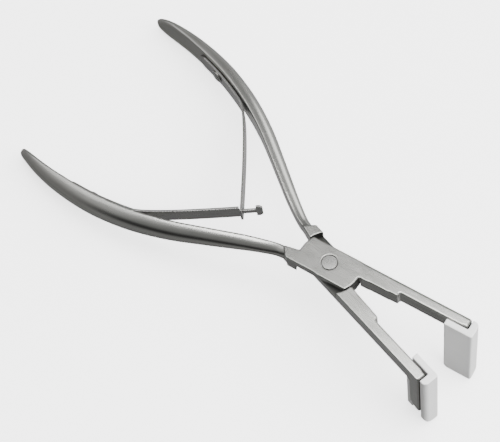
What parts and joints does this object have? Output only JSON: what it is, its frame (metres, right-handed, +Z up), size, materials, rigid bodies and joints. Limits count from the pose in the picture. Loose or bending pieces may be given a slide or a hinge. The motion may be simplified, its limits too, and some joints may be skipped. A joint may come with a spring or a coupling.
{
  "type": "hair extension pliers",
  "caption": "Spring-loaded steel pliers with a lap joint, bowed handles and hanging jaw paddles in white sleeves, for pressing tape-in hair extensions.",
  "frame": {"origin": "centre of the bounding box's base, with the open pliers standing on the sleeves' lower back corners and the handle tips", "axes": "+X from the handles towards the jaws, +Y towards the top half's jaw, +Z up"},
  "size_m": [0.1658, 0.0754, 0.0359],
  "materials": {
    "satin_steel": "fine satin, brushed along the handles and jaws",
    "rivet_steel": "satin",
    "spring_steel": "rolled, slightly darker than the forgings",
    "white_plastic": "moulded, smooth matte"
  },
  "bodies": {
    "top_half": {"top_half_forging": "satin_steel", "top_half_sleeve": "white_plastic", "tongue_spring_leaf": "spring_steel", "tongue_leaf_rivet": "rivet_steel", "pivot_rivet": "rivet_steel"},
    "bottom_half": {"bottom_half_forging": "satin_steel", "bottom_half_sleeve": "white_plastic", "slotted_spring_leaf": "spring_steel", "slotted_leaf_rivet": "rivet_steel"}
  },
  "joints": [
    {"name": "jaw_pivot", "type": "hinge", "parent": "top_half", "child": "bottom_half", "pos_m": [0.02657, 0, 0.02326], "axis": [-0.1736, 0, 0.9848], "range_deg": [0, 17.5], "stiffness_Nm_per_rad": 2.7, "springref_deg": -2.86, "deforming": ["tongue_spring_leaf", "slotted_spring_leaf"]}
  ]
}
